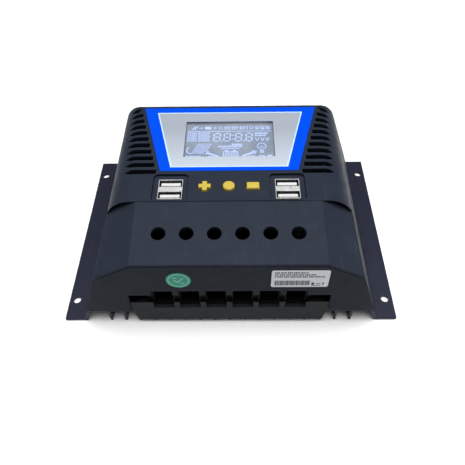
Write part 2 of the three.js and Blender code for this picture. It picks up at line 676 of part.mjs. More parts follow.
function placeUsb(name, side) {
  const shell = block(usbX(side), usbY, [DISPLAY_TOP, usbTop]);
  const ports = ["upper", "lower"];
  const hollows = ports.map((_, port) =>
    block(around(side * USB_X, PORT_W / 2), around(portY(port), PORT_H / 2), [usbTop - PORT_DEPTH, usbTop + PAST]),
  );
  place(`usb_shell_${name}`, shell.subtract(union(hollows)), "steel");
  ports.forEach((label, port) => {
    const y = portY(port) + TONGUE_SHIFT;
    const z = [usbTop - PORT_DEPTH, usbTop - TONGUE_SINK];
    place(`usb_tongue_${name}_${label}`, block(around(side * USB_X, TONGUE_W / 2), around(y, TONGUE_T / 2), z), "white");
  });
}

// ---- terminal block ----
const barTop = BAR_Z + BAR_T;
const cageInnerTop = barTop + SLIDE_GAP;
const cageTop = cageInnerTop + CAGE_TOP_T;
const chamberTop = cageTop + CAGE_RISE + SLIDE_GAP;
const headLow = chamberTop + 1.7;
const headTop = headLow + SCREW_HEAD_H;

function blockTools(way) {
  const x = wayX(way);
  const halfX = CAGE_HALF_X + SLIDE_GAP;
  const halfY = CAGE_HALF_Y + SLIDE_GAP;
  const floor = CAGE_LOW - SLIDE_GAP;
  const channel = block(around(x, halfX), [BLOCK_FRONT_Y - PAST, TERMINAL_Y], [floor, ENTRY_Z[1] - SEAT_GAP]);
  const chamber = block(around(x, halfX), around(TERMINAL_Y, halfY), [floor, chamberTop]);
  const wellR = SCREW_HEAD_R + 2 * RUN_GAP;
  const well = post(x, TERMINAL_Y, wellR, chamberTop - PAST, headTop + SLIDE_GAP, SMALL_ROUND);
  const mouth = post(x, TERMINAL_Y, WELL_MOUTH_R, chamberTop, BLOCK_TOP + PAST, SMALL_ROUND);
  const slotX = around(x, BAR_HALF + SEAT_GAP);
  const slot = block(slotX, [TERMINAL_Y, BLOCK_BACK_Y + PAST], [BAR_Z - BAR_PLAY, barTop + SEAT_GAP]);
  return union([channel, chamber, well, mouth, slot]);
}

function makeTerminalBlock() {
  const half = (WAYS * WAY_PITCH) / 2 + BLOCK_MARGIN;
  const body = block(around(0, half), [BLOCK_FRONT_Y, BLOCK_BACK_Y], [BLOCK_LOW, BLOCK_TOP]);
  return body.subtract(union(ways.map(blockTools)));
}

function makeCage(x) {
  const inner = CAGE_HALF_X - CAGE_SIDE;
  const body = block(around(x, CAGE_HALF_X), around(TERMINAL_Y, CAGE_HALF_Y), [CAGE_LOW, cageTop]);
  const gapY = around(TERMINAL_Y, CAGE_HALF_Y + PAST);
  const gap = block(around(x, inner), gapY, [CAGE_LOW + CAGE_FLOOR_T, cageInnerTop]);
  const bore = post(x, TERMINAL_Y, SCREW_R + RUN_GAP, cageInnerTop - PAST, cageTop + PAST, SMALL_ROUND);
  return body.subtract(gap.add(bore));
}

function makeContactBar(x) {
  const width = around(x, BAR_HALF);
  const legY = BLOCK_BACK_Y + SEAT_GAP;
  const tongue = block(width, [TERMINAL_Y - CAGE_HALF_Y - 0.8, legY + BAR_LEG_T], [BAR_Z, barTop]);
  return tongue.add(block(width, [legY, legY + BAR_LEG_T], [BLOCK_LOW, barTop]));
}

function makeTerminalScrew(x) {
  const shank = post(x, TERMINAL_Y, SCREW_R, barTop + RUN_GAP, headLow + PAST / 2, SMALL_ROUND);
  const head = post(x, TERMINAL_Y, SCREW_HEAD_R, headLow, headTop, SMALL_ROUND);
  const depth = [headTop - DRIVE_DEPTH, headTop + PAST];
  const slot = block(around(x, DRIVE_LEN / 2), around(TERMINAL_Y, DRIVE_W / 2), depth);
  const cross = block(around(x, DRIVE_W / 2), around(TERMINAL_Y, DRIVE_LEN / 2), depth);
  return shank.add(head).subtract(slot.add(cross));
}

function placeTerminals() {
  place("terminal_block", makeTerminalBlock(), "black");
  for (const way of ways) {
    const x = wayX(way);
    place(`terminal_cage_${way + 1}`, makeCage(x), "steel");
    place(`contact_bar_${way + 1}`, makeContactBar(x), "brass");
    place(`terminal_screw_${way + 1}`, makeTerminalScrew(x), "steel");
  }
}

// ---- cover screws, driven up from under the web ----
function placeCoverScrews() {
  const screws = eachCorner((x, y) => {
    const shank = post(x, y, COVER_SCREW_R, WEB_LOW - PAST, WEB_LOW + COVER_SCREW_LEN, SMALL_ROUND);
    const head = post(x, y, COVER_HEAD_R, WEB_LOW - COVER_HEAD_H, WEB_LOW, SMALL_ROUND);
    const depth = [WEB_LOW - COVER_HEAD_H - PAST, WEB_LOW - COVER_HEAD_H + PAST];
    const slot = block(around(x, COVER_HEAD_R * 0.7), around(y, DRIVE_W / 2), depth);
    return shank.add(head).subtract(slot);
  });
  screws.forEach((solid, index) => place(`cover_screw_${index + 1}`, solid, "steel"));
}

// ---- parts on the power board ----
function placeCapacitors() {
  CAPACITOR_YS.forEach((y, index) => {
    const can = post(CAPACITOR_X, y, CAPACITOR_R, BLOCK_LOW, BLOCK_LOW + CAPACITOR_H);
    place(`capacitor_${index + 1}`, can, "black");
  });
}

function makeMosfet(y) {
  const [thick, wide, tall] = MOSFET_SIZE;
  const [legX, legY, legZ] = MOSFET_LEG;
  const low = BLOCK_LOW + legZ;
  const body = block([RIB_X[0] - thick, RIB_X[0]], around(y, wide / 2), [low, low + tall]);
  const legs = [-1, 0, 1].map((step) =>
    block(around(RIB_X[0] - thick / 2, legX / 2), around(y + step * LEG_PITCH, legY / 2), [BLOCK_LOW, low + PAST]),
  );
  return union([body, ...legs]);
}

function placeMosfets() {
  const spread = (RIB_Y[1] - RIB_Y[0]) / MOSFET_COUNT;
  for (let index = 0; index < MOSFET_COUNT; index += 1) {
    place(`mosfet_${index + 1}`, makeMosfet(RIB_Y[0] + (index + 0.5) * spread), "black");
  }
}

function makeBoardLink() {
  const [wide, deep] = LINK_SIZE;
  const y = [DISPLAY_Y[1] - PAST - deep, DISPLAY_Y[1] - PAST];
  return block(around(0, wide / 2), y, [BLOCK_LOW, DISPLAY_TOP - BOARD_T]);
}

// ---- stickers ----
function makeRatingLabel() {
  const [x, z] = LABEL_CENTRE;
  return prismY(roundedRect(x, z, ...LABEL_SIZE, LABEL_R), FRONT_Y - STICKER_T, FRONT_Y);
}

function makeInspectionDot() {
  const [x, z] = DOT_CENTRE;
  const disc = new THREE.CylinderGeometry(DOT_R, DOT_R, STICKER_T, ROUND);
  return solidOf(disc.translate(x, FRONT_Y - STICKER_T / 2, z));
}

place("heatsink", makeHeatsink(), "anodised");
place("cover", makeCover(), "cover");
place("terminal_bezel", makeBezel(), "bezel");
place("face_overlay", makeOverlay(), "blue");
place("lcd_window", screenBlock(PANE_LAND, TOP_Z - OVERLAY_T - PANE_T, TOP_Z - OVERLAY_T), "clear");
place("lcd_glass", makeDisplayCell(), "lcd");
place("lcd_backlight", makeBacklight(), "white");
place("display_board", makeDisplayBoard(), "board");
place("power_board", makePowerBoard(), "board");
place("board_link", makeBoardLink(), "black");
place("rating_label", makeRatingLabel(), "paper");
place("inspection_dot", makeInspectionDot(), "green");
KEYS.forEach(placeKey);
placeUsb("left", -1);
placeUsb("right", 1);
placeTerminals();
placeCoverScrews();
placeSpacers();
placeCapacitors();
placeMosfets();

export default controller;
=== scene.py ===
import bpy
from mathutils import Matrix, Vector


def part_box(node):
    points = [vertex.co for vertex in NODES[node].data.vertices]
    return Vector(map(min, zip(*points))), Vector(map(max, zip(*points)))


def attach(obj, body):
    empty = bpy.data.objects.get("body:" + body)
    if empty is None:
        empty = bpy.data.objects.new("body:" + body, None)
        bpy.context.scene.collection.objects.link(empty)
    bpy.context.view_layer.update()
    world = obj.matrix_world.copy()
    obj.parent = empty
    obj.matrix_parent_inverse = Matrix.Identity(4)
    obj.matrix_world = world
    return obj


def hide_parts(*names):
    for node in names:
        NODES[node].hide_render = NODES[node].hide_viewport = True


bl_info = {
    "name": "Solar Charge Controller",
    "version": (1, 0, 0),
    "blender": (4, 5, 0),
    "location": "View3D > Sidebar > Controller",
    "description": "Builds the visible pieces of a flange-mounted solar charge controller",
    "category": "Add Mesh",
}

import math

import bmesh
import bpy
from bpy.props import FloatProperty, FloatVectorProperty, IntProperty, PointerProperty
from mathutils import Matrix, Vector

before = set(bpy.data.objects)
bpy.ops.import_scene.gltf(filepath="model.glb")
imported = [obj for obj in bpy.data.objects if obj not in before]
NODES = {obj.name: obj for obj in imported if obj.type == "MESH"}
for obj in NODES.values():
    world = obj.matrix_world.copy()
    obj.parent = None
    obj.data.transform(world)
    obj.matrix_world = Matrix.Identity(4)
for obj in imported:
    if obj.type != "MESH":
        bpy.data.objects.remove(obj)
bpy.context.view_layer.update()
MM = 0.001
MERGE = 2e-6
WAYS = range(1, 7)
SIDES = ("left", "right")
KEY_NAMES = ("plus", "set", "minus")
PORT_NAMES = ("upper", "lower")
NEAR = 0.01  # mm, how close a point lies to count as on a plane
PRINT_SINK = 0.02  # mm, how far a printed layer reaches into the face below it
PANE_LAND = 1.8  # mm, how far the silver panel covers the rim of the pane


# ---- sizes and colours a user may change ----
def length(name, description, default, low=0.0, high=0.1):
    return FloatProperty(
        name=name, description=description, default=default, min=low, max=high, unit="LENGTH", precision=5
    )


def tint(name, description, red, green, blue):
    """A colour property, given as 0 to 255 screen values."""
    shade = (red / 255, green / 255, blue / 255)
    return FloatVectorProperty(
        name=name, description=description, subtype="COLOR_GAMMA", size=3, min=0, max=1, default=shade
    )


class ControllerSizes(bpy.types.PropertyGroup):
    edge: length("Moulded edge", "Rounding of the moulded and extruded edges", 0.2 * MM)
    key_edge: length("Key edge", "Rounding of the rim of each rubber key", 0.85 * MM)
    print_height: length("Print height", "Height of the printed layers on the face film", 0.05 * MM)
    panel_front_y: length("Panel front", "Front edge of the silver panel", -1.8 * MM, -0.1)
    panel_back_y: length("Panel back", "Back edge of the silver panel", 45.2 * MM)
    panel_front_half: length("Panel front half width", "Half its width at its front", 32.0 * MM)
    panel_back_half: length("Panel back half width", "Half its width at its back", 43.4 * MM)
    panel_line: length("Panel line", "Width of the pale line around the silver panel", 0.75 * MM)
    screen_gap: length("Screen clearance", "Clearance around the front glass of the display", 0.3 * MM)
    digit_width: length("Digit width", "Width of a large digit on the display", 3.5 * MM)
    digit_height: length("Digit height", "Height of a large digit on the display", 7.0 * MM)
    stroke: length("Stroke", "Width of a stroke in the large digits", 0.85 * MM)
    thread_pitch: length("Thread pitch", "Pitch of the terminal screw thread", 0.7 * MM)
    label_bars: IntProperty(
        name="Label bars", description="Number of bars in the label's code", default=34, min=4, max=80
    )


class ControllerColours(bpy.types.PropertyGroup):
    cover: tint("Cover", "Moulded cover", 36, 42, 53)
    bezel: tint("Lip", "Moulded lip below the wire entries", 40, 42, 44)
    extrusion: tint("Extrusion", "Anodised heat sink and flanges", 27, 30, 46)
    film: tint("Film", "Blue print of the face film", 0, 66, 200)
    panel: tint("Panel", "Silver print of the face film", 140, 147, 157)
    line: tint("Line", "Pale line around the silver panel", 176, 208, 250)
    screen: tint("Screen", "Ground of the display", 74, 94, 118)
    mark: tint("Marks", "Segments and symbols of the display", 156, 180, 238)
    key: tint("Keys", "Rubber of the keys", 180, 158, 56)
    steel: tint("Plating", "Plated steel of sockets and screws", 208, 208, 210)
    screw: tint("Screws", "Zinc plating of the terminal screws", 84, 84, 92)
    brass: tint("Contact", "Tinned brass of the contacts", 190, 160, 92)
    nylon: tint("White plastic", "Tongues of the sockets", 196, 197, 198)
    black: tint("Black plastic", "Terminal block and small housings", 12, 12, 15)
    board: tint("Board", "Solder mask of the circuit boards", 6, 14, 11)
    label: tint("Label", "Paper of the rating label", 190, 192, 197)
    ink: tint("Ink", "Print on the rating label", 36, 38, 44)
    sticker: tint("Sticker", "Round inspection sticker", 36, 124, 102)
    sticker_mark: tint("Sticker mark", "Print on the inspection sticker", 112, 184, 158)


def sizes():
    return bpy.context.scene.controller_sizes


def linear(shade):
    """Screen values 0 to 1 as the linear values that a shader takes."""
    return tuple(v / 12.92 if v <= 0.04045 else ((v + 0.055) / 1.055) ** 2.4 for v in shade)


def paint(name):
    return linear(getattr(bpy.context.scene.controller_colours, name))


# ---- finishes ----
class Finish:
    """A material under construction: its nodes, and the point on the piece that its patterns start from."""

    def __init__(self, name, shade, roughness, metal=0.0, specular=0.5):
        self.material = bpy.data.materials.new(name)
        self.material.use_nodes = True
        self.nodes = self.material.node_tree.nodes
        self.links = self.material.node_tree.links
        self.shader = self.nodes["Principled BSDF"]
        self.shader.inputs["Metallic"].default_value = metal
        self.shader.inputs["Roughness"].default_value = roughness
        self.shader.inputs["Specular IOR Level"].default_value = specular
        self.shader.inputs["Base Color"].default_value = (*shade, 1)
        self.shade = shade
        self.roughness = roughness
        self.place = self.nodes.new("ShaderNodeTexCoord").outputs["Object"]
        self.colour = None
        self.height = None

    def turned(self, scale=(1, 1, 1), turn=(0, 0, 0)):
        mapping = self.nodes.new("ShaderNodeMapping")
        mapping.inputs["Scale"].default_value = scale
        mapping.inputs["Rotation"].default_value = [math.radians(a) for a in turn]
        self.links.new(self.place, mapping.inputs["Vector"])
        return mapping.outputs["Vector"]

    def noise(self, scale, detail=3.0, rough=0.55, place=None, distortion=0.0):
        node = self.nodes.new("ShaderNodeTexNoise")
        node.inputs["Scale"].default_value = scale
        node.inputs["Detail"].default_value = detail
        node.inputs["Roughness"].default_value = rough
        node.inputs["Distortion"].default_value = distortion
        self.links.new(place or self.place, node.inputs["Vector"])
        return node.outputs["Fac"]

    def cells(self, scale, place=None, feature="F1"):
        node = self.nodes.new("ShaderNodeTexVoronoi")
        node.feature = feature
        node.inputs["Scale"].default_value = scale
        self.links.new(place or self.place, node.inputs["Vector"])
        return node.outputs["Distance"]

    def span(self, value, low, high, to_low=0.0, to_high=1.0):
        """The value, taken from low..high to to_low..to_high and held there."""
        node = self.nodes.new("ShaderNodeMapRange")
        node.clamp = True
        limits = {"From Min": low, "From Max": high, "To Min": to_low, "To Max": to_high}
        for socket, number in limits.items():
            node.inputs[socket].default_value = number
        self.links.new(value, node.inputs["Value"])
        return node.outputs["Result"]

    def axis(self, name, source=None):
        """One component of the place on the piece, or of another vector."""
        node = self.nodes.new("ShaderNodeSeparateXYZ")
        self.links.new(source or self.place, node.inputs["Vector"])
        return node.outputs[name]

    def sum(self, one, two):
        node = self.nodes.new("ShaderNodeMath")
        for socket, value in zip(node.inputs, (one, two)):
            self.links.new(value, socket)
        return node.outputs["Value"]

    def tone(self, factor, shade):
        """Lays another shade over the colour so far, where the factor is high."""
        node = self.nodes.new("ShaderNodeMix")
        node.data_type = "RGBA"
        if self.colour is None:
            node.inputs["A"].default_value = (*self.shade, 1)
        else:
            self.links.new(self.colour, node.inputs["A"])
        node.inputs["B"].default_value = (*shade, 1)
        self.links.new(factor, node.inputs["Factor"])
        self.colour = node.outputs["Result"]

    def mottle(self, scale, amount):
        """Slow drift between a darker and a lighter cast of the colour."""
        drift = self.noise(scale, 5.0, 0.6)
        self.tone(self.span(drift, 0.35, 0.62), [v * (1 - amount) for v in self.shade])
        self.tone(self.span(drift, 0.52, 0.74), [min(1, v * (1 + amount)) for v in self.shade])

    def relief(self, value, strength, depth):
        node = self.nodes.new("ShaderNodeBump")
        node.inputs["Strength"].default_value = strength
        node.inputs["Distance"].default_value = depth
        self.links.new(value, node.inputs["Height"])
        if self.height is not None:
            self.links.new(self.height, node.inputs["Normal"])
        self.height = node.outputs["Normal"]

    def wear(self, amount=0.1, scale=260.0):
        """Handling marks: the roughness drifts either side of its value."""
        drift = self.noise(scale, 6.0, 0.65, distortion=0.4)
        smooth, rough = max(0.02, self.roughness - amount), min(1, self.roughness + amount)
        self.links.new(self.span(drift, 0.3, 0.7, smooth, rough), self.shader.inputs["Roughness"])

    def scratches(self, shade, turn, amount, scale=420.0):
        """A few fine hairline rubs, long one way and thin the other."""
        rubs = self.noise(scale, 2.0, 0.5, self.turned((1, 0.035, 1), turn))
        self.tone(self.span(rubs, 0.69, 0.75, 0.0, amount), shade)
        self.relief(self.span(rubs, 0.69, 0.75), 0.12, 0.02 * MM)

    def done(self):
        if self.colour is not None:
            self.links.new(self.colour, self.shader.inputs["Base Color"])
        if self.height is not None:
            self.links.new(self.height, self.shader.inputs["Normal"])
        return self.material


def moulded(name, shade, roughness, grain=2300.0, depth=0.045, specular=0.05, upright=1.0):
    """Spark-textured moulded plastic with flow marks, dust and rubs; upright faces can be given painted
    shade.
    """
    made = Finish(name, shade, roughness, specular=specular)
    made.mottle(55.0, 0.14)
    # Painted shade: faces that stand upright get a darker colour, as if less light falls on them from
    # above.
    if upright < 1.0:
        slope = made.axis("Z", made.place.node.outputs["Normal"])
        made.tone(made.span(slope, 0.45, 0.15, 0.0, 0.85), [v * upright for v in shade])
    pits = made.sum(made.noise(grain, 3.0, 0.6), made.span(made.cells(grain * 0.62), 0.0, 0.7))
    made.relief(pits, 0.32, depth * MM)
    dust = made.noise(5200.0, 2.0, 0.7)
    made.tone(made.span(dust, 0.70, 0.78, 0.0, 0.35), [min(1, v * 2.6 + 0.02) for v in shade])
    made.scratches([min(1, v * 1.9 + 0.01) for v in shade], (0, 0, 34), 0.22)
    made.scratches([min(1, v * 1.7 + 0.01) for v in shade], (0, 0, -58), 0.18, 360.0)
    made.wear(0.09)
    return made.done()


def anodised(name, shade, roughness):
    """Dark anodised extrusion: die lines along its length, a satin etch and a few rubbed spots."""
    made = Finish(name, shade, roughness, metal=0.3, specular=0.2)
    lines = made.noise(1500.0, 4.0, 0.7, made.turned((1, 0.012, 1)))
    made.mottle(38.0, 0.2)
    made.tone(made.span(lines, 0.4, 0.72, 0.0, 0.35), [min(1, v * 1.5 + 0.004) for v in shade])
    made.relief(lines, 0.25, 0.05 * MM)
    made.relief(made.noise(5200.0, 2.0), 0.16, 0.02 * MM)
    rubbed = made.noise(150.0, 8.0, 0.75)
    made.tone(made.span(rubbed, 0.72, 0.82, 0.0, 0.4), [min(1, v * 3.2 + 0.03) for v in shade])
    made.scratches([min(1, v * 3 + 0.02) for v in shade], (0, 0, 12), 0.3, 300.0)
    made.wear(0.08, 90.0)
    return made.done()


def printed(name, shade, roughness, specular=0.4):
    """Ink behind a matt polyester film: a very fine weave of grain and soft patches."""
    made = Finish(name, shade, roughness, specular=specular)
    made.mottle(42.0, 0.05)
    made.relief(made.noise(4200.0, 2.0, 0.5), 0.16, 0.012 * MM)
    made.relief(made.noise(26.0, 2.0), 0.25, 0.12 * MM)
    made.scratches([min(1, v * 1.08 + 0.02) for v in shade], (0, 0, 21), 0.25, 260.0)
    made.wear(0.07, 120.0)
    return made.done()


def silver_print(name, shade, roughness):
    """Silver ink with a painted highlight that grows towards the terminals."""
    made = Finish(name, shade, roughness, specular=0.35)
    # Painted highlight: the silver is lighter towards the front, at low Y, as if the light fell more
    # strongly there.
    made.tone(made.span(made.axis("Y"), 0.03, -0.003), [min(1, v * 1.5) for v in shade])
    made.relief(made.noise(4200.0, 2.0, 0.5), 0.16, 0.012 * MM)
    flake = made.noise(6400.0, 2.0, 0.6)
    made.tone(made.span(flake, 0.6, 0.75, 0.0, 0.3), [v * 0.86 for v in shade])
    made.scratches([min(1, v * 1.08 + 0.02) for v in shade], (0, 0, 21), 0.25, 260.0)
    made.wear(0.07, 120.0)
    return made.done()


def plated(name, shade, roughness, metal=1.0, painted_shade_below=None):
    """Plated metal: drawing lines, dull patches and small nicks; painted shade below a height, if one is
    given.
    """
    made = Finish(name, shade, roughness, metal=metal)
    made.mottle(180.0, 0.12)
    # Painted shade: below the given height, inside the ports, the colour darkens almost to black.
    if painted_shade_below is not None:
        depth = made.span(made.axis("Z"), painted_shade_below, painted_shade_below - 0.7 * MM, 0.0, 0.95)
        made.tone(depth, [v * 0.03 for v in shade])
    made.relief(made.noise(2600.0, 3.0, 0.6, made.turned((1, 1, 0.05))), 0.25, 0.025 * MM)
    nicks = made.noise(900.0, 6.0, 0.75)
    made.tone(made.span(nicks, 0.66, 0.76, 0.0, 0.5), [v * 0.45 for v in shade])
    made.wear(0.12, 420.0)
    return made.done()


def rubber(name, shade):
    """Silicone rubber with a satin skin and a little grime."""
    made = Finish(name, shade, 0.48, specular=0.45)
    made.mottle(240.0, 0.09)
    made.relief(made.noise(3400.0, 3.0, 0.6), 0.22, 0.03 * MM)
    grime = made.noise(620.0, 6.0, 0.7)
    made.tone(made.span(grime, 0.6, 0.82, 0.0, 0.35), [v * 0.7 for v in shade])
    made.shader.inputs["Subsurface Weight"].default_value = 0.05
    made.shader.inputs["Subsurface Radius"].default_value = (0.001, 0.0006, 0.0002)
    made.wear(0.1, 500.0)
    return made.done()


def circuit_board(name, shade):
    """Solder mask over copper: lighter tracks, plated pads and a woven base."""
    made = Finish(name, shade, 0.55, specular=0.06)
    made.mottle(120.0, 0.15)
    tracks = made.cells(210.0, made.turned((1, 1, 0.05)), "DISTANCE_TO_EDGE")
    made.tone(made.span(tracks, 0.05, 0.09, 0.7, 0.0), [min(1, v * 1.9 + 0.01) for v in shade])
    pads = made.cells(330.0, made.turned((1, 1, 0.05), (0, 0, 20)))
    made.tone(made.span(pads, 0.10, 0.13, 0.9, 0.0), (0.55, 0.54, 0.5))
    made.relief(made.span(tracks, 0.05, 0.09, 1.0, 0.0), 0.4, 0.03 * MM)
    made.relief(made.noise(2400.0, 2.0), 0.15, 0.02 * MM)
    made.wear(0.1)
    return made.done()


def paper(name, shade):
    """Matt label stock with fine fibres."""
    made = Finish(name, shade, 0.62, specular=0.35)
    made.mottle(90.0, 0.05)
    made.relief(made.noise(2800.0, 5.0, 0.7, made.turned((0.35, 1, 1))), 0.3, 0.02 * MM)
    made.relief(made.noise(60.0, 2.0), 0.3, 0.08 * MM)
    made.tone(made.span(made.noise(3600.0, 3.0), 0.62, 0.78, 0.0, 0.3), [v * 0.78 for v in shade])
    made.wear(0.06)
    return made.done()


def display(name, shade, roughness, cells=2600.0):
    """Liquid crystal cell: a soft sheen, faint cell grain and slow cloudy patches."""
    made = Finish(name, shade, roughness, specular=0.5)
    made.mottle(34.0, 0.1)
    made.tone(made.span(made.cells(cells), 0.25, 0.6, 0.0, 0.25), [v * 0.86 for v in shade])
    made.relief(made.noise(1800.0, 2.0), 0.1, 0.01 * MM)
    made.wear(0.06, 80.0)
    return made.done()


def pane(name):
    """Clear acrylic pane: nearly all of it lets light straight through, with faint smears."""
    made = Finish(name, (0.9, 0.93, 0.97), 0.12, specular=0.6)
    smear = made.noise(48.0, 6.0, 0.6, distortion=1.2)
    made.links.new(made.span(smear, 0.35, 0.7, 0.06, 0.13), made.shader.inputs["Alpha"])
    made.relief(made.noise(90.0, 2.0), 0.1, 0.05 * MM)
    made.wear(0.06, 140.0)
    return made.done()


FINISHES = {
    # the cover's upright faces get painted shade, down to 0.45 of its colour
    "cover": lambda: moulded("Cover plastic", paint("cover"), 0.46, upright=0.45),
    "bezel": lambda: moulded("Lip plastic", paint("bezel"), 0.5, 2600.0),
    "black": lambda: moulded("Black nylon", paint("black"), 0.42, 1800.0, 0.03),
    "nylon": lambda: moulded("White plastic", paint("nylon"), 0.4, 2000.0, 0.02),
    "extrusion": lambda: anodised("Dark anodised aluminium", paint("extrusion"), 0.42),
    "film": lambda: printed("Blue film", paint("film"), 0.36, specular=0.03),
    "panel": lambda: silver_print("Silver film", paint("panel"), 0.44),
    "line": lambda: printed("Pale line", paint("line"), 0.42),
    "pane": lambda: pane("Clear pane"),
    "screen": lambda: display("Display ground", paint("screen"), 0.3),
    "mark": lambda: display("Display marks", paint("mark"), 0.34, 3400.0),
    "key": lambda: rubber("Yellow rubber", paint("key")),
    "steel": lambda: plated("Plated steel", paint("steel"), 0.34, 0.6),
    # the socket shells get painted shade inside their ports, below the mouths
    "shell": lambda: plated(
        "Plated shell", paint("steel"), 0.34, 0.6, painted_shade_below=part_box("usb_shell_left")[1].z - 0.25 * MM
    ),
    "screw": lambda: plated("Zinc on steel", paint("screw"), 0.42, 0.8),
    "brass": lambda: plated("Tinned brass", paint("brass"), 0.32),
    "board": lambda: circuit_board("Circuit board", paint("board")),
    "label": lambda: paper("Label paper", paint("label")),
    "ink": lambda: paper("Label ink", paint("ink")),
    "sticker": lambda: paper("Green sticker", paint("sticker")),
    "sticker_mark": lambda: paper("Sticker print", paint("sticker_mark")),
}
MADE = {}


def finish(name):
    """The finish of that name, made the first time it is asked for."""
    if name not in MADE:
        MADE[name] = FINISHES[name]()
    return MADE[name]


# ---- modelling helpers ----
def settle():
    """Object mode, with nothing selected."""
    if bpy.context.object is not None and bpy.context.object.mode != "OBJECT":
        bpy.ops.object.mode_set(mode="OBJECT")
    bpy.ops.object.select_all(action="DESELECT")


def hold(piece):
    """Makes one piece the only one selected, and active."""
    settle()
    piece.select_set(True)
    bpy.context.view_layer.objects.active = piece


def shape(piece):
    hold(piece)
    bpy.ops.object.mode_set(mode="EDIT")


def choose(kind, test):
    """Selects the faces, edges or points in edit mode that pass a test of middle, in mm, and direction."""
    mesh = bmesh.from_edit_mesh(bpy.context.object.data)
    bpy.context.tool_settings.mesh_select_mode = tuple(kind == k for k in ("VERT", "EDGE", "FACE"))
    mesh.select_mode = {kind}
    for group in (mesh.verts, mesh.edges, mesh.faces):
        for item in group:
            item.select_set(False)
    if kind == "VERT":
        wanted = [v for v in mesh.verts if test(v.co / MM, v.normal)]
    elif kind == "EDGE":
        wanted = [
            e for e in mesh.edges
            if test((e.verts[0].co + e.verts[1].co) / 2 / MM, (e.verts[1].co - e.verts[0].co).normalized())
        ]
    else:
        wanted = [f for f in mesh.faces if test(f.calc_center_median() / MM, f.normal)]
    for item in wanted:
        item.select_set(True)
    mesh.select_flush_mode()
    bmesh.update_edit_mesh(bpy.context.object.data)
    if not wanted:
        raise RuntimeError(f"{bpy.context.object.name}: nothing to select")


def block(name, low, high):
    """A box from one corner to the other, in mm."""
    settle()
    middle = [(a + b) / 2 * MM for a, b in zip(low, high)]
    size = [(b - a) * MM for a, b in zip(low, high)]
    bpy.ops.mesh.primitive_cube_add(size=1, location=middle, scale=size)
    return named(name)


def post(name, centre, radius, bottom, top, sides=48):
    """An upright round bar, in mm."""
    settle()
    middle = (centre[0] * MM, centre[1] * MM, (bottom + top) / 2 * MM)
    bpy.ops.mesh.primitive_cylinder_add(
        vertices=sides, radius=radius * MM, depth=(top - bottom) * MM, location=middle
    )
    return named(name)


def named(name):
    piece = bpy.context.object
    piece.name = name
    piece.data.name = name
    bpy.ops.object.transform_apply(location=True, rotation=True, scale=True)
    return piece


def apply(piece, kind, **values):
    hold(piece)
    modifier = piece.modifiers.new(kind.lower(), kind)
    for key, value in values.items():
        setattr(modifier, key, value)
    bpy.ops.object.modifier_apply(modifier=modifier.name)


def soften(piece, width, segments=2, angle=28.0):
    apply(
        piece, "BEVEL", width=width, segments=segments, limit_method="ANGLE",
        angle_limit=math.radians(angle), use_clamp_overlap=False,
    )


def flatten(piece):
    """Keeps the shading of large flat faces flat up to their rounded edges."""
    apply(piece, "WEIGHTED_NORMAL", mode="FACE_AREA", weight=50, keep_sharp=True)


def cut(piece, *tools):
    for tool in tools:
        apply(piece, "BOOLEAN", operation="DIFFERENCE", solver="EXACT", object=tool)
        bpy.data.objects.remove(tool)


def weld(piece, *others):
    """Makes one solid of several."""
    for other in others:
        apply(piece, "BOOLEAN", operation="UNION", solver="EXACT", object=other)
        bpy.data.objects.remove(other)


def together(pieces, name):
    settle()
    for piece in pieces:
        piece.select_set(True)
    bpy.context.view_layer.objects.active = pieces[0]
    if len(pieces) > 1:
        bpy.ops.object.join()
    piece = bpy.context.object
    piece.name = name
    piece.data.name = name
    return piece


def twin(piece, name, matrix=None):
    """A copy with its own mesh, moved in its mesh."""
    mesh = piece.data.copy()
    if matrix is not None:
        mesh.transform(matrix)
        if matrix.determinant() < 0:
            mesh.flip_normals()
    made = bpy.data.objects.new(name, mesh)
    bpy.context.scene.collection.objects.link(made)
    return made


def shift(x=0.0, y=0.0, z=0.0):
    return Matrix.Translation((x * MM, y * MM, z * MM))


def spread(x, y, z, wide, long, turn=0.0):
    """Where a unit plate goes: its middle and its size in mm, and its turn in degrees."""
    turned = Matrix.Rotation(math.radians(turn), 4, "Z")
    return shift(x, y, z) @ turned @ Matrix.Diagonal((wide, long, 1, 1))


def extent(node):
    """The low and the high corner of a CAD node, in mm."""
    return [Vector(corner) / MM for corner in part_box(node)]


def merged_copy(node, name):
    """A copy of a CAD node as one closed skin of flat faces."""
    source = NODES[node]
    piece = bpy.data.objects.new(name, source.data.copy())
    bpy.context.scene.collection.objects.link(piece)
    shape(piece)
    bpy.ops.mesh.select_all(action="SELECT")
    bpy.ops.mesh.remove_doubles(threshold=MERGE)
    bpy.ops.mesh.select_all(action="SELECT")
    bpy.ops.mesh.dissolve_limited(angle_limit=math.radians(0.4))
    settle()
    return piece


def keep_inside(piece, low, high):
    """Takes up the last hundredths of a millimetre that a rounded edge may stand past the box."""
    for point in piece.data.vertices:
        point.co = [min(max(v, a), b) for v, a, b in zip(point.co, low, high)]


def complete(piece, finish_name, body="housing", replaces=(), angle=30.0):
    """Gives a piece its finish, its smooth shading and the body it rides on."""
    piece.data.materials.clear()
    piece.data.materials.append(finish(finish_name))
    hold(piece)
    bpy.ops.object.shade_smooth_by_angle(angle=math.radians(angle))
    flatten(piece)
    settle()
    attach(piece, body)
    if replaces:
        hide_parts(*replaces)
    return piece


def refined(node, name, finish_name, body="housing", width=None):
    """A CAD node's own shape with its edges rounded, in place of the node."""
    piece = merged_copy(node, name)
    soften(piece, width or sizes().edge)
    keep_inside(piece, *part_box(node))
    return complete(piece, finish_name, body, (node,))


def in_place(finish_name, *nodes):
    """CAD nodes whose shape is right get their finish on their own slots."""
    for node in nodes:
        for slot in NODES[node].material_slots:
            slot.material = finish(finish_name)


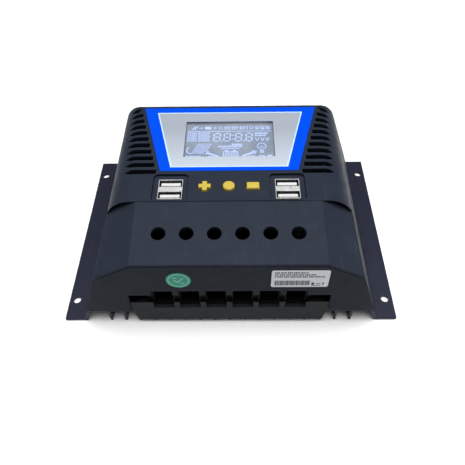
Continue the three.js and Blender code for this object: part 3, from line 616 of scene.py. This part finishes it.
def plate(name, front_y, front_half, back_y, back_half, low, high):
    """A flat plate that widens from its front to its back, in metres except its heights in mm."""
    piece = block(name, (-1, 0, low), (1, 1, high))
    for vertex in piece.data.vertices:
        back = vertex.co.y > 0.5 * MM
        vertex.co.y = back_y if back else front_y
        vertex.co.x = math.copysign(back_half if back else front_half, vertex.co.x)
    return piece


# ---- one operator for each group of pieces ----
class CONTROLLER_OT_base(bpy.types.Operator):
    """Extruded heat sink with its flanges and fins"""

    bl_idname = "controller.base"
    bl_label = "Heat sink"

    def execute(self, context):
        refined("heatsink", "heatsink_extrusion", "extrusion", width=0.25 * MM)
        for number in range(1, 5):
            refined(
                f"cover_screw_{number}", f"case_screw_{number}", "steel", width=0.15 * MM
            )
        return {"FINISHED"}


class CONTROLLER_OT_cover(bpy.types.Operator):
    """Moulded cover and the lip below the wire entries"""

    bl_idname = "controller.cover"
    bl_label = "Cover"

    def execute(self, context):
        refined("cover", "cover_shell", "cover")
        refined("terminal_bezel", "terminal_lip", "bezel", width=0.3 * MM)
        return {"FINISHED"}


class CONTROLLER_OT_face(bpy.types.Operator):
    """Printed face film: blue ground, silver panel and the pale line around it"""

    bl_idname = "controller.face"
    bl_label = "Face film"

    def execute(self, context):
        size = sizes()
        film = merged_copy("face_overlay", "face_film")
        soften(film, 0.08 * MM, 1)
        keep_inside(film, *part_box("face_overlay"))
        complete(film, "film", replaces=("face_overlay",))
        top = extent("face_overlay")[1].z
        rise = size.print_height / MM
        low, high = extent("lcd_window")
        hole_low = (low.x + PANE_LAND, low.y + PANE_LAND)
        hole_high = (high.x - PANE_LAND, high.y - PANE_LAND)
        line = size.panel_line
        outer = (
            size.panel_front_y - line, size.panel_front_half + line * 0.9,
            size.panel_back_y + line, size.panel_back_half + line * 1.1,
        )
        inner = (size.panel_front_y, size.panel_front_half, size.panel_back_y, size.panel_back_half)
        border = plate("panel_line", *outer, top - PRINT_SINK, top + rise)
        cut(border, plate("tool", *inner, top - 1, top + 1))
        soften(border, 0.02 * MM, 1)
        complete(border, "line")
        panel = plate("silver_panel", *inner, top - PRINT_SINK, top + rise * 1.4)
        cut(panel, block("tool", (*hole_low, top - 1), (*hole_high, top + 1)))
        soften(panel, 0.025 * MM, 2)
        complete(panel, "panel")
        return {"FINISHED"}


class CONTROLLER_OT_display(bpy.types.Operator):
    """Display cell with its front glass, its digits and its symbols, behind a clear pane"""

    bl_idname = "controller.display"
    bl_label = "Display"

    def execute(self, context):
        size = sizes()
        low, high = extent("lcd_glass")
        pane_low, pane_high = extent("lcd_window")
        land = PANE_LAND + size.screen_gap / MM
        glass_thickness, overlap = 2.25, 0.2
        front_top, cell_top = high.z, high.z - glass_thickness
        cell = block("display_cell", low, (high.x, high.y, cell_top))
        soften(cell, 0.12 * MM)
        glass = block(
            "display_front_glass",
            (pane_low.x + land, pane_low.y + land, cell_top - overlap),
            (pane_high.x - land, pane_high.y - land, front_top),
        )
        soften(glass, 0.1 * MM)
        weld(cell, glass)
        complete(cell, "screen", replaces=("lcd_glass",))
        in_place("pane", "lcd_window")
        in_place("nylon", "lcd_backlight")
        self.marks(size, front_top)
        return {"FINISHED"}

    def marks(self, size, top):
        rise = 0.05
        bar = block("bar", (-0.5, -0.5, -PRINT_SINK), (0.5, 0.5, rise))
        bar.data.transform(Matrix.Diagonal((1000, 1000, 1, 1)) @ Matrix.Diagonal((MM, MM, 1, 1)))
        made = []

        def stroke(x, y, wide, long, turn=0.0):
            made.append(twin(bar, "stroke", spread(x, y, top, wide, long, turn)))

        def line(x0, y0, x1, y1, wide=0.4):
            span = math.hypot(x1 - x0, y1 - y0)
            stroke((x0 + x1) / 2, (y0 + y1) / 2, span, wide, math.degrees(math.atan2(y1 - y0, x1 - x0)))

        def outline(x0, y0, x1, y1, wide=0.4):
            for a, b, c, d in ((x0, y0, x1, y0), (x0, y1, x1, y1), (x0, y0, x0, y1), (x1, y0, x1, y1)):
                line(a, b, c, d, wide)

        def arc(x, y, wide, tall, start, end, steps, thick):
            turns = [math.radians(start + (end - start) * i / steps) for i in range(steps + 1)]
            rim = [(x + wide * math.cos(turn), y + tall * math.sin(turn)) for turn in turns]
            for one, two in zip(rim, rim[1:]):
                line(*one, *two, thick)

        def caption(x, y, wide, tall=1.1, gap=0.3):
            """A row of small blocks that stands for a word."""
            count = max(2, int(wide / 1.05))
            step = wide / count
            for i in range(count):
                stroke(x + (i + 0.5) * step, y, step - gap, tall * (1.0, 0.78, 0.92)[i % 3])

        # big digits: seven pointed segments each, with points and a colon between them
        w, h, s = size.digit_width / MM, size.digit_height / MM, size.stroke / MM
        span = w - s * 1.15
        segment = block("segment", (-span / 2, -s / 2, -PRINT_SINK), (span / 2, s / 2, rise))
        shape(segment)
        choose("EDGE", lambda m, d: abs(d.z) > 0.9)
        bpy.ops.mesh.bevel(offset=s * 0.46 * MM, segments=1, affect="EDGES")
        settle()
        digits = []
        upright = h / 2 / span * 0.86
        lean = Matrix.Identity(4)
        lean[0][1] = 0.06
        for x in (-7.4, -1.4, 5.3, 11.5):
            here = shift(x, 24.7, top) @ lean
            for y in (-h / 2, 0.0, h / 2):
                digits.append(twin(segment, "segment", here @ shift(0, y)))
            for side in (-1, 1):
                for y in (-h / 4, h / 4):
                    up = Matrix.Rotation(math.pi / 2, 4, "Z") @ Matrix.Diagonal((upright, 1, 1, 1))
                    digits.append(twin(segment, "segment", here @ shift(side * w / 2, y) @ up))
        bpy.data.objects.remove(segment)
        complete(together(digits, "display_digits"), "mark")
        for x, y in ((-4.5, 21.1), (8.4, 21.1), (1.9, 23.0), (1.9, 26.4)):
            stroke(x, y, 0.9, 0.9)
        # top row of small symbols, and the rule below it
        line(-24.8, 30.1, 24.8, 30.1, 0.45)
        line(-22.6, 31.6, -20.4, 34.8, 0.7)
        line(-21.2, 31.6, -19.0, 34.8, 0.7)
        stroke(-17.0, 33.2, 2.2, 0.7)
        stroke(-13.0, 33.2, 3.8, 2.5)
        line(-9.9, 33.2, -7.7, 33.2, 0.6)
        line(-8.8, 32.1, -8.8, 34.3, 0.6)
        arc(-5.4, 33.2, 1.1, 1.2, 20, 340, 7, 0.5)
        for i in range(3):
            caption(-3.2 + i * 4.5, 33.9, 4.0, 1.1)
            caption(-3.2 + i * 4.5, 32.3, 3.6, 1.0)
        line(10.6, 31.4, 10.6, 35.2, 0.55)
        arc(13.0, 33.3, 1.1, 1.3, 0, 360, 8, 0.45)
        for i in range(3):
            caption(15.0 + i * 3.3, 33.8, 2.8, 1.2)
            stroke(16.4 + i * 3.3, 32.2, 2.4, 0.9)
        # words left of the digits, units right of them
        for row in range(5):
            caption(-25.0, 28.6 - row * 1.75, 5.8, 1.15)
            caption(-18.6, 28.6 - row * 1.75, 7.0 - 0.5 * (row % 2), 1.15)
        caption(14.9, 27.9, 7.6, 1.7, 0.2)
        caption(14.9, 26.0, 6.6, 1.3, 0.2)
        for x in (16.2, 19.4, 22.2):
            line(x - 1.0, 24.0, x, 21.0, 0.55)
            line(x + 1.0, 24.0, x, 21.0, 0.55)
        # bar below the digits
        caption(1.2, 18.1, 6.4, 1.6, 0.25)
        caption(-6.6, 16.4, 14.0, 1.5, 0.25)
        caption(-4.6, 14.6, 10.4, 0.8)
        # solar panel with the sun's arc beside it
        for i in range(6):
            line(-21.4 + i * 1.5, 10.9, -18.2 + i * 1.5, 18.8, 0.5)
        for row in range(5):
            line(-21.6 + row * 0.8, 10.9 + row * 1.97, -13.7 + row * 0.8, 10.9 + row * 1.97, 0.42)
        arc(-22.2, 13.4, 2.4, 3.0, 120, 300, 7, 0.75)
        caption(-25.0, 8.0, 8.6, 1.5)
        # arrows to and from the battery
        line(-14.2, 11.6, -6.2, 8.0, 1.3)
        line(-14.6, 11.9, -11.6, 12.2, 0.7)
        line(-14.6, 11.9, -13.0, 9.6, 0.7)
        caption(-12.2, 8.0, 4.6, 1.1)
        line(7.4, 8.2, 15.2, 11.9, 1.3)
        line(15.8, 12.3, 12.8, 12.5, 0.7)
        line(15.8, 12.3, 14.4, 9.8, 0.7)
        caption(10.6, 8.0, 4.2, 1.1)
        # battery with two cells
        outline(-3.4, 6.9, 4.8, 12.0, 0.5)
        outline(-2.4, 7.8, 0.3, 11.1, 0.42)
        outline(1.1, 7.8, 3.8, 11.1, 0.42)
        for x0 in (-2.4, 1.1):
            line(x0, 7.8, x0 + 2.7, 11.1, 0.4)
            line(x0, 11.1, x0 + 2.7, 7.8, 0.4)
        stroke(-1.6, 12.8, 1.7, 1.0)
        stroke(3.0, 12.8, 1.7, 1.0)
        # lamp with its socket
        arc(18.7, 16.6, 2.5, 2.6, -60, 240, 11, 0.55)
        line(17.5, 14.5, 18.7, 16.8, 0.45)
        line(19.9, 14.5, 18.7, 16.8, 0.45)
        for y in (13.3, 12.2, 11.2):
            stroke(18.7, y, 2.3, 0.65)
        caption(16.9, 8.0, 3.4, 1.6)
        stroke(23.2, 8.0, 2.6, 1.9)
        bpy.data.objects.remove(bar)
        complete(together(made, "display_symbols"), "mark")


class CONTROLLER_OT_keys(bpy.types.Operator):
    """Three rubber keys with rounded rims, on their plungers and switches"""

    bl_idname = "controller.keys"
    bl_label = "Keys"

    def execute(self, context):
        rim = sizes().key_edge
        for name in KEY_NAMES:
            node = f"key_{name}"
            piece = merged_copy(node, f"rubber_key_{name}")
            top = extent(node)[1].z
            shape(piece)
            choose("EDGE", lambda m, d, top=top: m.z > top - NEAR)
            bpy.ops.mesh.bevel(offset=rim, segments=4, profile=0.5, affect="EDGES", clamp_overlap=False)
            settle()
            soften(piece, 0.12 * MM, 1, 60)
            keep_inside(piece, *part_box(node))
            complete(piece, "key", f"{name}_key", (node,), 40)
            in_place("nylon", f"plunger_{name}")
            in_place("black", f"switch_{name}")
        return {"FINISHED"}


class CONTROLLER_OT_sockets(bpy.types.Operator):
    """Two stacked charging sockets: shells with springs, tongues and contact strips"""

    bl_idname = "controller.sockets"
    bl_label = "Sockets"

    def execute(self, context):
        for name in SIDES:
            node = f"usb_shell_{name}"
            low, high = extent(node)
            middle = (low.x + high.x) / 2
            wall, port_wide, port_long, depth = 0.35, 12.4, 5.1, 13.2
            ports = [(high.y - wall - port_long, high.y - wall), (low.y + wall, low.y + wall + port_long)]
            shell = block(f"socket_shell_{name}", low, high)
            shape(shell)
            planes = [((middle + s * port_wide / 2, 0, 0), (1, 0, 0)) for s in (-1, 1)]
            planes += [((0, y, 0), (0, 1, 0)) for port in ports for y in port]
            for place, way in planes:
                bpy.ops.mesh.select_all(action="SELECT")
                bpy.ops.mesh.bisect(plane_co=[v * MM for v in place], plane_no=way)
            choose(
                "FACE",
                lambda m, n: n.z > 0.9
                and abs(m.x - middle) < port_wide / 2 and any(a < m.y < b for a, b in ports),
            )
            bpy.ops.mesh.extrude_region_move(TRANSFORM_OT_translate={"value": (0, 0, -depth * MM)})
            choose(
                "EDGE",
                lambda m, d: abs(d.z) > 0.9
                and min(m.x - low.x, high.x - m.x) < NEAR and min(m.y - low.y, high.y - m.y) < NEAR,
            )
            bpy.ops.mesh.bevel(offset=0.7 * MM, segments=4, affect="EDGES")
            settle()
            apply(shell, "WELD", merge_threshold=MERGE)
            soften(shell, 0.09 * MM, 2, 40)
            springs = []
            for near, far in ports:
                for y, way in ((near, 1), (far, -1)):
                    for x in (-3.1, 3.1):
                        springs.append(self.spring(middle + x, y, way, high.z - 1.2))
            piece = together([shell, *springs], f"socket_shell_{name}")
            keep_inside(piece, *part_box(node))
            complete(piece, "shell", replaces=(node,))
            strips = []
            for level in PORT_NAMES:
                t_low, t_high = extent(f"usb_tongue_{name}_{level}")
                tongue = block(f"socket_tongue_{name}_{level}", t_low, t_high)
                shape(tongue)
                choose("EDGE", lambda m, d, top=t_high.z: m.z > top - NEAR)
                bpy.ops.mesh.bevel(offset=0.32 * MM, segments=3, affect="EDGES")
                settle()
                for i in range(4):
                    x = middle + (i - 1.5) * 2.35
                    strips.append(self.strip(x, t_low.y, t_high.z))
                complete(tongue, "nylon", replaces=(f"usb_tongue_{name}_{level}",))
            complete(together(strips, f"socket_contacts_{name}"), "brass")
        return {"FINISHED"}

    def spring(self, x, y, way, top):
        """A pressed spring leaf that bows from the wall into the port."""
        leaf = block("spring", (x - 0.9, y - 0.05, top - 6), (x + 0.9, y + 0.05, top))
        shape(leaf)
        for level in (1.2, 2.6, 4.2):
            bpy.ops.mesh.select_all(action="SELECT")
            bpy.ops.mesh.bisect(plane_co=(0, 0, (top - level) * MM), plane_no=(0, 0, 1))
        choose("VERT", lambda m, n: top - 3.0 < m.z < top - 0.6)
        bpy.ops.transform.translate(value=(0, way * 0.42 * MM, 0))
        choose("VERT", lambda m, n: top - 4.6 < m.z < top - 3.8)
        bpy.ops.transform.translate(value=(0, way * 0.2 * MM, 0))
        settle()
        soften(leaf, 0.03 * MM, 1, 50)
        return leaf

    def strip(self, x, y, top):
        """A contact strip that starts under the nose of the tongue and lies on its face."""
        strip = block("strip", (x - 0.5, y - 0.12, top - 9), (x + 0.5, y + 0.05, top - 0.45))
        shape(strip)
        choose("EDGE", lambda m, d: m.z > top - 0.5 and m.y < y)
        bpy.ops.mesh.bevel(offset=0.1 * MM, segments=2, affect="EDGES")
        settle()
        return strip


class CONTROLLER_OT_terminals(bpy.types.Operator):
    """Terminal block with its lifting cages, contact bars and slotted clamp screws"""

    bl_idname = "controller.terminals"
    bl_label = "Terminals"

    def execute(self, context):
        refined("terminal_block", "terminal_body", "black")
        first = self.screw("terminal_screw_1")
        start = extent("terminal_screw_1")[0].x
        for way in WAYS:
            node, cage = f"terminal_screw_{way}", f"cage_{way}"
            copy = twin(first, f"clamp_screw_{way}", shift(extent(node)[0].x - start))
            complete(copy, "screw", f"screw_{way}", (node,), 32)
            refined(f"terminal_{cage}", f"clamp_{cage}", "steel", cage, 0.25 * MM)
            refined(f"contact_bar_{way}", f"clamp_bar_{way}", "brass", width=0.2 * MM)
        bpy.data.objects.remove(first)
        return {"FINISHED"}

    def screw(self, node):
        low, high = extent(node)
        pitch = sizes().thread_pitch / MM
        centre = x, y = (low.x + high.x) / 2, (low.y + high.y) / 2
        head_radius, head_height, shank_radius, root = (high.x - low.x) / 2, 2.9, 1.95, 0.8
        slot_half_long, slot_half_wide, slot_depth = 2.5, 0.45, 1.3
        under = high.z - head_height
        head = post("head", centre, head_radius, under, high.z)
        shape(head)
        choose("EDGE", lambda m, d: m.z > high.z - NEAR and abs(d.z) < 0.1)
        bpy.ops.mesh.bevel(offset=0.45 * MM, segments=3, affect="EDGES")
        choose("EDGE", lambda m, d: m.z < under + NEAR and abs(d.z) < 0.1)
        bpy.ops.mesh.bevel(offset=0.15 * MM, segments=1, affect="EDGES")
        settle()
        floor, above = high.z - slot_depth, high.z + 1
        for a, b in ((slot_half_long, slot_half_wide), (slot_half_wide, slot_half_long)):
            cut(head, block("tool", (x - a, y - b, floor), (x + a, y + b, above)))
        soften(head, 0.07 * MM, 1, 50)
        turns = int((under - low.z) / pitch)
        ring = post("shank", centre, shank_radius, low.z, low.z + pitch, 32)
        shape(ring)
        choose("FACE", lambda m, n: abs(n.z) > 0.9)
        bpy.ops.mesh.delete(type="FACE")
        bpy.ops.mesh.select_all(action="SELECT")
        bpy.ops.mesh.bisect(plane_co=(0, 0, (low.z + pitch / 2) * MM), plane_no=(0, 0, 1))
        choose("VERT", lambda m, n: abs(m.z - low.z - pitch / 2) < NEAR)
        bpy.ops.transform.resize(value=(root, root, 1), center_override=(x * MM, y * MM, low.z * MM))
        settle()
        apply(
            ring, "ARRAY", count=turns, use_relative_offset=False, use_constant_offset=True,
            constant_offset_displace=(0, 0, pitch * MM), use_merge_vertices=True, merge_threshold=MERGE,
        )
        top = low.z + turns * pitch
        shape(ring)
        choose("VERT", lambda m, n: m.z > top - NEAR)
        bpy.ops.transform.translate(value=(0, 0, (under + 0.2 - top) * MM))
        for level in (low.z, under + 0.2):
            choose("EDGE", lambda m, d, level=level: abs(m.z - level) < NEAR and abs(d.z) < 0.1)
            bpy.ops.mesh.edge_face_add()
        bpy.ops.mesh.select_all(action="SELECT")
        bpy.ops.mesh.normals_make_consistent(inside=False)
        settle()
        weld(head, ring)
        keep_inside(head, *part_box(node))
        return head


class CONTROLLER_OT_labels(bpy.types.Operator):
    """Rating label with plain lines and bars, and the round inspection sticker"""

    bl_idname = "controller.labels"
    bl_label = "Label and sticker"

    def execute(self, context):
        low, high = extent("rating_label")
        face = low.y + 0.05
        label = merged_copy("rating_label", "rating_sticker")
        for vertex in label.data.vertices:
            vertex.co.y = max(vertex.co.y, face * MM)
        soften(label, 0.03 * MM, 1)
        complete(label, "label", replaces=("rating_label",))
        bar = block("bar", (-0.5, low.y, -0.5), (0.5, face + 0.03, 0.5))
        marks = []

        def stroke(x, z, wide, tall):
            plan = Matrix.Diagonal((wide, 1, tall, 1))
            marks.append(twin(bar, "mark", shift(x, 0, z) @ plan))

        left, right = low.x + 1.7, high.x - 1.7
        for row, reach in enumerate((15.5, 20.5, 24.5)):
            z = high.z - 1.9 - row * 1.75
            x, i = left, row
            while x < left + reach:
                wide = (0.55, 0.8, 0.65, 0.95)[i % 4]
                stroke(x + wide / 2, z, wide, (1.15, 0.95)[i % 2])
                x += wide + (0.18, 0.2, 0.55)[i % 3]
                i += 1
        x, count = left, sizes().label_bars
        for i in range(count):
            wide = (0.22, 0.4, 0.3, 0.52, 0.24)[(i * 3) % 5]
            stroke(x + wide / 2, low.z + 3.7, wide, 4.2)
            x += wide + (0.18, 0.26, 0.14)[i % 3]
        for i, (wide, tall) in enumerate(((1.5, 1.9), (1.9, 0.6), (0.7, 1.7))):
            stroke(right - 6.2 + i * 2.6, low.z + 3.0, wide, tall)
        stroke(right - 4.6, low.z + 1.4, 4.6, 0.4)
        bpy.data.objects.remove(bar)
        complete(together(marks, "rating_marks"), "ink")
        self.sticker()
        return {"FINISHED"}

    def sticker(self):
        low, high = extent("inspection_dot")
        face = low.y + 0.05
        x, z = (low.x + high.x) / 2, (low.z + high.z) / 2
        radius = (high.x - low.x) / 2
        upright = Matrix.Rotation(math.pi / 2, 4, "X")

        def disc(name, size, front, back):
            piece = post(name, (0, 0), size, 0, 1, 64)
            piece.data.transform(shift(x, 0, z) @ upright)
            for vertex in piece.data.vertices:
                vertex.co.y = (front if vertex.co.y < -0.5 * MM else back) * MM
            return piece

        spot = disc("inspection_sticker", radius, face, high.y)
        soften(spot, 0.03 * MM, 1)
        complete(spot, "sticker", replaces=("inspection_dot",))
        ring = disc("ring", radius * 0.86, low.y, face + 0.03)
        cut(ring, disc("tool", radius * 0.78, low.y - 1, face + 1))
        marks = [ring]
        bar = block("bar", (-0.5, low.y, -0.5), (0.5, face + 0.03, 0.5))
        # the tick's two strokes, and a short rule either side of it
        strokes = (-1.5, -0.6, 2.6, 48), (0.9, 0.2, 5.2, -52), (-1.9, 2.2, 2.2, 0), (1.9, -2.4, 2.4, 0)
        for dx, dz, wide, turn in strokes:
            place = shift(x + dx, 0, z + dz) @ Matrix.Rotation(math.radians(turn), 4, "Y")
            marks.append(twin(bar, "mark", place @ Matrix.Diagonal((wide, 1, 0.6, 1))))
        bpy.data.objects.remove(bar)
        complete(together(marks, "inspection_marks"), "sticker_mark")


class CONTROLLER_OT_boards(bpy.types.Operator):
    """Circuit boards and the parts inside the cover"""

    bl_idname = "controller.boards"
    bl_label = "Boards"

    def execute(self, context):
        in_place("board", "display_board", "power_board")
        in_place("black", "board_link", "mosfet_1", "mosfet_2", "mosfet_3", "capacitor_1", "capacitor_2")
        in_place("brass", *(f"board_spacer_{number}" for number in range(1, 5)))
        return {"FINISHED"}


class CONTROLLER_OT_stage(bpy.types.Operator):
    """Pale floor, soft lights and the camera"""

    bl_idname = "controller.stage"
    bl_label = "Stage"

    def execute(self, context):
        floor_size, wall_height, sweep = 6.0, 2.0, 0.9
        back = floor_size / 2 / MM - 100
        settle()
        bpy.ops.mesh.primitive_plane_add(size=floor_size, location=(0, 0, 0))
        floor = named("floor")
        shape(floor)
        choose("EDGE", lambda m, d: m.y > back)
        bpy.ops.mesh.extrude_region_move(TRANSFORM_OT_translate={"value": (0, 0, wall_height)})
        choose("EDGE", lambda m, d: m.y > back and abs(m.z) < 1)
        bpy.ops.mesh.bevel(offset=sweep, segments=12, affect="EDGES")
        settle()
        pale = Finish("Pale floor", (0.84, 0.84, 0.84), 0.85, specular=0.1)
        pale.mottle(2.0, 0.006)
        pale.relief(pale.noise(400.0, 3.0), 0.05, 0.05 * MM)
        floor.data.materials.append(pale.done())
        hold(floor)
        bpy.ops.object.shade_smooth_by_angle(angle=math.radians(40))
        settle()
        self.light("overhead_softbox", (0.06, -0.02, 1.3), (0.0, 0.0, 0.0), 1.5, 11.5, 85)
        self.light("side_softbox", (0.95, 0.1, 0.6), (0.0, 0.0, 0.02), 0.7, 1.2)
        world = bpy.data.worlds.new("Light tent")
        world.use_nodes = True
        ground = world.node_tree.nodes["Background"]
        ground.inputs["Color"].default_value = (0.98, 0.99, 1.0, 1)
        ground.inputs["Strength"].default_value = 0.22
        context.scene.world = world
        context.scene.view_settings.view_transform = "Standard"
        eye = bpy.data.cameras.new("camera")
        eye.lens = 39.1
        eye.sensor_width = 36
        eye.clip_start = 0.01
        camera = bpy.data.objects.new("camera", eye)
        camera.location = (0.00585, -0.20805, 0.25441)
        camera.rotation_euler = [math.radians(a) for a in (39.387, 0.866, 0.286)]
        context.scene.collection.objects.link(camera)
        context.scene.camera = camera
        return {"FINISHED"}

    def light(self, name, place, aim, size, power, spread=180):
        lamp = bpy.data.lights.new(name, "AREA")
        lamp.size = size
        lamp.energy = power
        lamp.spread = math.radians(spread)
        made = bpy.data.objects.new(name, lamp)
        made.location = place
        made.rotation_euler = (Vector(aim) - Vector(place)).to_track_quat("-Z", "Y").to_euler()
        bpy.context.scene.collection.objects.link(made)


OPERATORS = (
    CONTROLLER_OT_base,
    CONTROLLER_OT_cover,
    CONTROLLER_OT_face,
    CONTROLLER_OT_display,
    CONTROLLER_OT_keys,
    CONTROLLER_OT_sockets,
    CONTROLLER_OT_terminals,
    CONTROLLER_OT_labels,
    CONTROLLER_OT_boards,
    CONTROLLER_OT_stage,
)


class CONTROLLER_PT_panel(bpy.types.Panel):
    """Lists the pieces, with their sizes and colours"""

    bl_idname = "CONTROLLER_PT_panel"
    bl_label = "Solar Charge Controller"
    bl_space_type = "VIEW_3D"
    bl_region_type = "UI"
    bl_category = "Controller"

    def draw(self, context):
        for operator in OPERATORS:
            self.layout.operator(operator.bl_idname)
        for group in (context.scene.controller_sizes, context.scene.controller_colours):
            column = self.layout.box().column()
            for name in group.__annotations__:
                column.prop(group, name)


CLASSES = (ControllerSizes, ControllerColours, *OPERATORS, CONTROLLER_PT_panel)


def register():
    for item in CLASSES:
        bpy.utils.register_class(item)
    bpy.types.Scene.controller_sizes = PointerProperty(type=ControllerSizes)
    bpy.types.Scene.controller_colours = PointerProperty(type=ControllerColours)


def unregister():
    del bpy.types.Scene.controller_colours
    del bpy.types.Scene.controller_sizes
    for item in reversed(CLASSES):
        bpy.utils.unregister_class(item)


def main():
    register()
    for operator in OPERATORS:
        group, name = operator.bl_idname.split(".")
        getattr(getattr(bpy.ops, group), name)()


if __name__ == "__main__":
    main()
